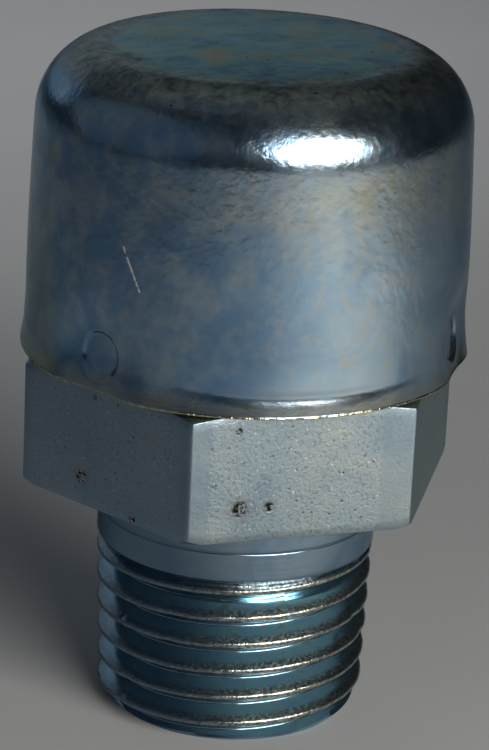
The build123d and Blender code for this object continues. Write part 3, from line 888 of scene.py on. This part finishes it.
def cut_skin(tree, where, across, clouds, crest, scored):
    """Colour of the turned surfaces below the hexagon, tinted dark blue on the left as painted shade."""
    root = mark(tree, "root")
    flank = add(tree, RAMP, blotches(tree, where, 0.8, detail=5, shift=7.7), stops=FLANK_TONES)
    neck = add(tree, RAMP, clouds, stops=NECK_TONES)
    skin = add(tree, MIX, add(tree, S_CURVE, root, 0.03, 0.30), neck, flank)
    rub = blotches(tree, where, 0.16, detail=4, roughness=0.65, shift=2.2)
    rubbed = add(tree, RAMP, rub, stops=RUBBED_TONES)
    skin = add(tree, MIX, add(tree, S_CURVE, crest, 0.05, 0.60), skin, rubbed)
    skin = add(tree, MIX, add(tree, TIMES, scored, 0.5), skin, TOOL_LINE_SHADE)
    # Painted shade: the left side of the neck and the thread is tinted a dark blue.
    return add(tree, MIX, add(tree, S_CURVE, across, -0.5, -5.2, 0.0, 0.75), skin, LEFT_PAINTED_SHADE)


# %% [markdown]
# ## Rust pits, and the whole body finish
#
# Where the plate was thin, a few rust pits have broken through, each a dark ragged core in a faint brown
# halo. They sit at set places, given as a centre and a radius in millimetres. Many tiny specks are scattered
# over the hexagon.

# %% Body finish
RUST_PITS = [
    ((-3.05, -9.53, 1.65), 0.50),
    ((-1.60, -9.53, 1.66), 0.30),
    ((-3.25, -9.53, 5.55), 0.22),
    ((-9.02, -3.43, 1.42), 0.44),
    ((-7.30, -6.41, 0.20), 0.30),
    ((-8.64, -4.09, 5.60), 0.18),
    ((-4.30, -9.53, 2.90), 0.12),
]
RUST_HALO = "8a7e70"
RUST_CORE = "231c18"


def rust_mask(tree, where, reach):
    """1 within half of reach times each pit's radius, falling to 0 at reach times it."""
    total = 0.0
    for centre, size in RUST_PITS:
        gap = add(tree, DISTANCE, where, centre)
        total = add(tree, LARGER, total, add(tree, S_CURVE, gap, 0.5 * size * reach, size * reach, 1.0, 0.0))
    return total


def zinc_on_turned_bar():
    """Zinc plate on turned steel bar: satin and gritty on the hexagon, ringed and glossy below it."""
    material, tree, where = blank_material("zinc_plate_on_turned_bar")
    height, across, radius = places(tree, where)
    on_hexagon = add(tree, S_CURVE, height, -0.02, 0.02)
    # a wider band at each right-hand corner
    leaning = add(tree, PLUS, radius, add(tree, TIMES, across, 0.035))
    by_corner = add(tree, S_CURVE, leaning, 10.34, 10.50)
    clouds = blotches(tree, where, 4.0, detail=5, distortion=0.5)
    crest = mark(tree, "crest")
    from_line = add(tree, UNSIGNED, add(tree, PLUS, height, TOOL_LINE_DEPTH))
    scored = add(tree, S_CURVE, from_line, 0.03, 0.09, 1.0, 0.0)
    flats, grit, dents = hexagon_skin(tree, where, across, clouds, by_corner)
    colour = add(tree, MIX, on_hexagon, cut_skin(tree, where, across, clouds, crest, scored), flats)
    ragged = blotches(tree, where, 0.20, detail=5, roughness=0.65, shift=5.0)
    pits = add(tree, TIMES, rust_mask(tree, where, 1.0), add(tree, S_CURVE, ragged, 0.45, 0.54))
    tiny = add(tree, TIMES, specks(tree, where, 0.55, 0.05, 0.13, 0.10, shift=0.4), on_hexagon)
    pits = add(tree, LARGER, pits, add(tree, TIMES, tiny, 0.8))
    colour = add(tree, MIX, add(tree, TIMES, rust_mask(tree, where, 1.7), 0.30), colour, RUST_HALO)
    colour = add(tree, MIX, pits, colour, RUST_CORE)
    gloss = add(tree, S_CURVE, on_hexagon, 0.0, 1.0, 0.20, 0.33)
    gloss = add(tree, PLUS, gloss, add(tree, TIMES, pits, 0.35))
    gloss = add(tree, HELD_PLUS, gloss, add(tree, TIMES, crest, 0.06))
    sparkle = add(tree, MINUS, 1.0, add(tree, TIMES, by_corner, 0.55))
    grain = bump(tree, add(tree, TIMES, grit, sparkle), 0.030)
    dips = add(tree, TIMES, add(tree, MINUS, 1.0, dents), sparkle)
    grain = bump(tree, dips, 0.006, Normal=grain)
    rings = blotches(tree, where, 0.10, detail=2, stretch=(60, 60, 1))
    tooled = bump(tree, rings, 0.010)
    line = add(tree, MINUS, 1.0, scored)
    tooled = bump(tree, line, 0.02, Normal=tooled)
    burr = add(tree, TIMES, crest, blotches(tree, where, 0.11, detail=3, shift=6.6))
    tooled = bump(tree, burr, 0.022, Normal=tooled)
    relief = add(tree, NORMAL_MIX, on_hexagon, tooled, grain)
    holes = add(tree, MINUS, 1.0, pits)
    relief = bump(tree, holes, 0.03, Normal=relief)
    surface(tree, Base_Color=colour, Metallic=1.0, Roughness=gloss, Specular_Tint=GRAZING_TINT, Normal=relief)
    return material


hex_body.data.materials.append(zinc_on_turned_bar())
print("body finish nodes", len(hex_body.data.materials[0].node_tree.nodes))


# %% [markdown]
# ## The finishes inside
#
# Pressed and plated steel, spring wire, turned brass, nitrile rubber and reticulated foam. The metals and the
# rubber each keep one broad variation, one fine grain and their own roughness, and the foam its pattern of
# struts and pores, so that none is a single flat colour.

# %% Plain metals, rubber and foam
def plain_metal(name, dark, light, rough_low, rough_high, grain_mm, grain_depth_mm, stretch=(1, 1, 1)):
    """A metal that varies between two colours over about 3 mm, with a fine grain of the given size."""
    material, tree, where = blank_material(name)
    broad = blotches(tree, where, 3.0, detail=6, distortion=0.5)
    colour = add(tree, RAMP, broad, stops=[(0.35, dark), (0.65, light)])
    gloss = add(tree, S_CURVE, broad, 0.3, 0.7, rough_low, rough_high)
    grain = blotches(tree, where, grain_mm, detail=3, stretch=stretch)
    relief = bump(tree, grain, grain_depth_mm)
    surface(tree, Base_Color=colour, Metallic=1.0, Roughness=gloss, Normal=relief)
    return material


def nitrile_rubber():
    """Moulded nitrile: nearly black, matt, with a faint bloom and a fine moulded grain."""
    material, tree, where = blank_material("moulded_nitrile_rubber")
    bloom = blotches(tree, where, 1.5, detail=5)
    colour = add(tree, RAMP, bloom, stops=[(0.35, "17181a"), (0.7, "2a2c2e")])
    gloss = add(tree, S_CURVE, bloom, 0.3, 0.7, 0.45, 0.65)
    grain = blotches(tree, where, 0.12, detail=2)
    relief = bump(tree, grain, 0.006)
    surface(tree, Base_Color=colour, Roughness=gloss, Normal=relief)
    return material


def filter_foam():
    """Reticulated foam: dark grey struts round open pores of about 0.4 mm, drawn as dark cells with bump. The
    near black of the pores is painted shade.
    """
    material, tree, where = blank_material("reticulated_filter_foam")
    local = add(tree, PLACE, where, Scale=(2.5, 2.5, 2.5))
    cells = add(tree, ("ShaderNodeTexVoronoi", {"feature": "DISTANCE_TO_EDGE"}), local, Scale=1.0)
    strut = add(tree, S_CURVE, cells, 0.05, 0.30, 1.0, 0.0)
    # Painted shade: the open pores between the struts are coloured near black.
    colour = add(tree, MIX, strut, "0c0d0e", "51565a")
    relief = bump(tree, strut, 0.15)
    surface(tree, Base_Color=colour, Roughness=0.85, Normal=relief)
    return material


pressed_steel = plain_metal("plated_pressed_steel", "7f8689", "a3a7a6", 0.30, 0.45, 0.3, 0.006)
spring_wire = plain_metal("oiled_spring_wire", "5c5e61", "85878a", 0.22, 0.35, 0.1, 0.003, stretch=(1, 1, 8))
gauze_wire = plain_metal("stainless_gauze_wire", "8d8d8a", "b4b3ae", 0.25, 0.38, 0.08, 0.002)
valve_brass = plain_metal("turned_brass", "a5833f", "c8a964", 0.22, 0.34, 0.12, 0.004, stretch=(20, 20, 1))
rubber = nitrile_rubber()

foam.data.materials.append(filter_foam())
gauze.data.materials.append(gauze_wire)
spring.data.materials.append(spring_wire)
kept_nodes = {
    "splash_baffle": pressed_steel,
    "spring_cage": pressed_steel,
    "filter_plate": pressed_steel,
    "baffle_clip": spring_wire,
    "wave_washer": spring_wire,
    "valve_plate": valve_brass,
    "valve_seal": rubber,
    "inlet_flap": rubber,
}
for node, material in kept_nodes.items():
    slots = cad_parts[node].data.materials
    slots.clear()
    slots.append(material)
print("materials", len(bpy.data.materials))


# %% [markdown]
# ## Floor, light and camera
#
# The breather stands on the end of its thread on a plain pale floor. A metal shows what it reflects, so the
# lights are placed for their reflections: a soft window in front and to the right draws the bright patch on
# the dome's shoulder, a pool of light on the floor below it draws the sheen down the wall, a weaker light
# behind fills the roof, and the rest stays dim.

# %% Floor
floor_z = THREAD_END_Z * MM
floor_data = bpy.data.meshes.new("floor")
FLOOR_HALF = 3.0
floor_corners = [(-FLOOR_HALF, -FLOOR_HALF), (FLOOR_HALF, -FLOOR_HALF)]
floor_corners += [(FLOOR_HALF, FLOOR_HALF), (-FLOOR_HALF, FLOOR_HALF)]
floor_data.from_pydata([(x, y, floor_z) for x, y in floor_corners], [], [(0, 1, 2, 3)])
floor = bpy.data.objects.new("floor", floor_data)
bpy.context.scene.collection.objects.link(floor)
floor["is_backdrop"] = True
paper, tree, where = blank_material("pale_paper_floor")
tone = add(tree, RAMP, blotches(tree, where, 40.0, detail=3), stops=[(0.3, "a6a7a8"), (0.7, "adaeaf")])
surface(tree, Base_Color=tone, Roughness=0.9)
floor_data.materials.append(paper)


# %% Lights
FLOOR_REFLECTANCE = 0.40
POOL_LAMP_HEIGHT = 0.40
AIM = Vector((0, 0, 8 * MM))  # the middle of the object


def direction(azimuth, elevation):
    """Unit vector towards an azimuth, 0 at -Y and turning towards +X, and an elevation, both in degrees."""
    a, e = np.radians([azimuth, elevation])
    return Vector((np.sin(a) * np.cos(e), -np.cos(a) * np.cos(e), np.sin(e)))


def soft_light(name, azimuth, elevation, distance, width, height, radiance, hex_colour):
    """An elliptical light that faces the middle of the object. A radiance of 1 renders as white where the
    light itself is seen in a mirror, so its power is pi x area x radiance."""
    data = bpy.data.lights.new(name, "AREA")
    data.shape = "ELLIPSE"
    data.size = width
    data.size_y = height
    data.energy = np.pi * (np.pi / 4 * width * height) * radiance
    data.color = linear(hex_colour)[:3]
    light = bpy.data.objects.new(name, data)
    light.location = AIM + direction(azimuth, elevation) * distance
    light.rotation_euler = (AIM - light.location).to_track_quat("-Z", "Y").to_euler()
    bpy.context.scene.collection.objects.link(light)


def floor_pool(name, azimuth, distance, radius, gain, hex_colour="ffffff"):
    """A spot straight above a place on the floor, which brightens it by gain in the middle and fades to
    nothing at radius. The object stands outside its cone, so it only sees the brighter floor."""
    data = bpy.data.lights.new(name, "SPOT")
    data.energy = 4 * np.pi * POOL_LAMP_HEIGHT**2 * np.pi * gain / FLOOR_REFLECTANCE
    data.color = linear(hex_colour)[:3]
    data.spot_size = 2 * np.arctan(radius / POOL_LAMP_HEIGHT)
    data.spot_blend = 1.0
    data.shadow_soft_size = 0.02
    light = bpy.data.objects.new(name, data)
    light.location = direction(azimuth, 0) * distance
    light.location.z = floor_z + POOL_LAMP_HEIGHT
    bpy.context.scene.collection.objects.link(light)


# name, azimuth, elevation, distance, width, height, radiance, colour
soft_light("window", 16, 24, 0.21, 0.175, 0.122, 9.5, "fffaf3")
soft_light("bounce_card", 22, 3, 0.30, 0.18, 0.07, 0.10, "fff8f0")
soft_light("back_wall", 185, 18, 0.90, 1.20, 0.50, 0.38, "dfeaf5")
soft_light("ceiling", 170, 72, 0.90, 1.10, 0.90, 0.20, "dfeaf5")
soft_light("left_wall", -88, 25, 0.90, 1.70, 1.00, 0.11, "dfeaf5")
# name, azimuth, distance, radius, gain, colour
floor_pool("front_pool", 31, 0.085, 0.062, 0.62, "fff0da")
floor_pool("rear_pool", 180, 0.160, 0.140, 0.15)

world = bpy.data.worlds.new("dim_room")
world.use_nodes = True
background = world.node_tree.nodes["Background"]
background.inputs["Color"].default_value = linear("b4c6d6")
background.inputs["Strength"].default_value = 0.04
bpy.context.scene.world = world

# %% Camera
CAMERA_AZIMUTH = -18.67
CAMERA_ELEVATION = 19.71
CAMERA_ROLL = -2.73
CAMERA_DISTANCE = 158.7 * MM
CAMERA_RIGHT = 0.1 * MM
CAMERA_UP = 4.45 * MM
back = direction(CAMERA_AZIMUTH, CAMERA_ELEVATION)
flat_right = Vector((0, 0, 1)).cross(back).normalized()
flat_up = back.cross(flat_right)
roll = np.radians(CAMERA_ROLL)
right = np.cos(roll) * flat_right - np.sin(roll) * flat_up
up = np.sin(roll) * flat_right + np.cos(roll) * flat_up
camera_data = bpy.data.cameras.new("camera")
camera_data.lens = 153.6
camera_data.sensor_width = 36.0
camera_data.clip_start = 0.01
camera_data.clip_end = 20.0
camera = bpy.data.objects.new("camera", camera_data)
camera.matrix_world = Matrix([(*right, 0), (*up, 0), (*back, 0), (0, 0, 0, 1)]).transposed()
camera.location = back * CAMERA_DISTANCE + flat_right * CAMERA_RIGHT + flat_up * CAMERA_UP
bpy.context.scene.collection.objects.link(camera)
bpy.context.scene.camera = camera
bpy.context.scene.view_settings.view_transform = "Standard"
print("camera at mm", [round(value / MM, 1) for value in camera.location])

# %% Sizes
low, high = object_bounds()
